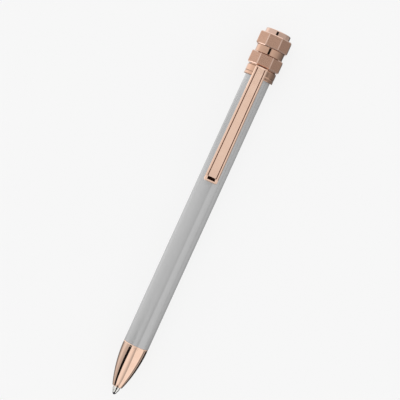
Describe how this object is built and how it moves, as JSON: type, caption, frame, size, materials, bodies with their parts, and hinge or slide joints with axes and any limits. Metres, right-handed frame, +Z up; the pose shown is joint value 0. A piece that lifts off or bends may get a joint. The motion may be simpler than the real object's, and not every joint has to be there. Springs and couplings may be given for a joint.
{
  "type": "retractable ballpoint pen",
  "caption": "Twist-action ballpoint pen with a grey barrel, rose-gold nose, rimmed spring clip and a crown shaped like stacked octagonal nuts.",
  "frame": {"origin": "under the middle of the pen's length, on the surface that the nuts' lowest flats lie on", "axes": "+X along the pen from the writing tip to the crown, +Z up through the clip, +Y across"},
  "size_m": [0.138, 0.0114, 0.0119],
  "materials": {
    "grey_lacquer": "satin lacquer over a drawn tube",
    "polished_rose_gold": "rose-gold plate, polished",
    "satin_rose_gold": "rose-gold plate, satin brushed",
    "turned_brass": "turned",
    "machined_steel": "machined",
    "spring_steel": "drawn wire",
    "nickel_plate": "nickel plate, polished",
    "carbide": "lapped tungsten carbide, inked",
    "acetal": "moulded",
    "nitrile_rubber": "moulded",
    "ink": "wet paste"
  },
  "bodies": {
    "barrel": {"barrel_tube": "grey_lacquer", "nose_cone": "polished_rose_gold", "nose_bushing": "turned_brass", "collar": "satin_rose_gold", "clip_ring": "polished_rose_gold", "clip_nut": "machined_steel", "mechanism_housing": "turned_brass", "return_spring": "spring_steel"},
    "clip": {"clip_arm": "polished_rose_gold", "clip_inlay": "polished_rose_gold"},
    "crown": {"lower_nut": "satin_rose_gold", "neck_sleeve": "satin_rose_gold", "upper_nut": "satin_rose_gold", "finial_screw": "satin_rose_gold", "crown_spindle": "machined_steel", "thrust_washer": "turned_brass", "friction_ring": "nitrile_rubber", "cam_sleeve": "machined_steel"},
    "refill": {"plunger": "acetal", "follower_pin": "machined_steel", "refill_tube": "nickel_plate", "refill_plug": "acetal", "ink_column": "ink", "refill_nozzle": "acetal", "refill_tip": "nickel_plate"},
    "ball": {"writing_ball": "carbide"}
  },
  "joints": [
    {"name": "crown_twist", "type": "hinge", "parent": "barrel", "child": "crown", "pos_m": [0.06, 0, 0.00571], "axis": [1, 0, 0], "range_deg": [0, 180]},
    {"name": "refill_slide", "type": "slide", "parent": "barrel", "child": "refill", "axis": [1, 0, 0], "range_m": [0, 0.005], "deforming": ["return_spring"]},
    {"name": "ball_roll", "type": "hinge", "parent": "refill", "child": "ball", "pos_m": [-0.0685, 0, 0.00571], "axis": [0, 1, 0], "continuous": true},
    {"name": "clip_flex", "type": "hinge", "parent": "barrel", "child": "clip", "pos_m": [0.0544, 0, 0.01113], "axis": [0, 1, 0], "range_deg": [0, 3.5], "stiffness_Nm_per_rad": 2}
  ],
  "couplings": [
    {"joint": "refill_slide", "follows": "crown_twist", "m_per_rad": 0.0015915}
  ]
}
